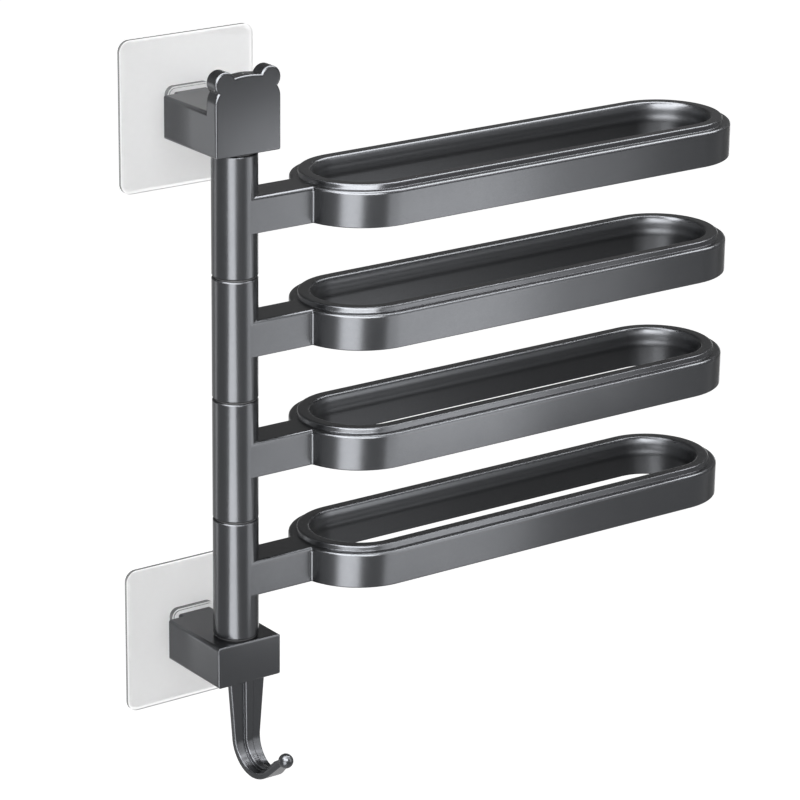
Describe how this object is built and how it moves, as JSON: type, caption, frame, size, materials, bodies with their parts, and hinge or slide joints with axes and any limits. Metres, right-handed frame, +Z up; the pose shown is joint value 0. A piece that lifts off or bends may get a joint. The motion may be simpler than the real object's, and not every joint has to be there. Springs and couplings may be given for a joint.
{
  "type": "swing arm towel bar",
  "caption": "Wall towel rack: long looped arms swing on an upright post held by adhesive wall brackets, the upper one eared, the lower one carrying a ribbed hook.",
  "frame": {"origin": "centre of the lower wall plate's back face, on the wall", "axes": "+X along the arms at rest, to the viewer's right; +Y into the wall; +Z up along the post"},
  "size_m": [0.3536, 0.0965, 0.3859],
  "materials": {
    "gunmetal": "satin metallic gunmetal grey paint on moulded plastic",
    "clear_plastic": "clear, glossy",
    "adhesive": "pale grey translucent adhesive sheet",
    "steel": "plain steel",
    "bush": "plain nylon",
    "washer": "black, matt"
  },
  "bodies": {
    "wall_frame": {"lower_adhesive_sheet": "adhesive", "upper_adhesive_sheet": "adhesive", "lower_clear_plate": "clear_plastic", "upper_clear_plate": "clear_plastic", "lower_bracket": "gunmetal", "upper_bracket": "gunmetal", "spindle": "steel", "lower_spindle_screw": "steel", "upper_spindle_screw": "steel", "washer_1": "washer", "washer_2": "washer", "washer_3": "washer", "washer_4": "washer", "washer_5": "washer"},
    "arm_body_1": {"arm_1": "gunmetal", "arm_1_top_bush": "bush", "arm_1_bottom_bush": "bush"},
    "arm_body_2": {"arm_2": "gunmetal", "arm_2_top_bush": "bush", "arm_2_bottom_bush": "bush"},
    "arm_body_3": {"arm_3": "gunmetal", "arm_3_top_bush": "bush", "arm_3_bottom_bush": "bush"},
    "arm_body_4": {"arm_4": "gunmetal", "arm_4_top_bush": "bush", "arm_4_bottom_bush": "bush"}
  },
  "joints": [
    {"name": "arm_1_swing", "type": "hinge", "parent": "wall_frame", "child": "arm_body_1", "pos_m": [0, -0.0457, 0.24085], "axis": [0, 0, 1], "range_deg": [-180, 0]},
    {"name": "arm_2_swing", "type": "hinge", "parent": "wall_frame", "child": "arm_body_2", "pos_m": [0, -0.0457, 0.17545], "axis": [0, 0, 1], "range_deg": [-180, 0]},
    {"name": "arm_3_swing", "type": "hinge", "parent": "wall_frame", "child": "arm_body_3", "pos_m": [0, -0.0457, 0.11005], "axis": [0, 0, 1], "range_deg": [-180, 0]},
    {"name": "arm_4_swing", "type": "hinge", "parent": "wall_frame", "child": "arm_body_4", "pos_m": [0, -0.0457, 0.04465], "axis": [0, 0, 1], "range_deg": [-180, 0]}
  ]
}
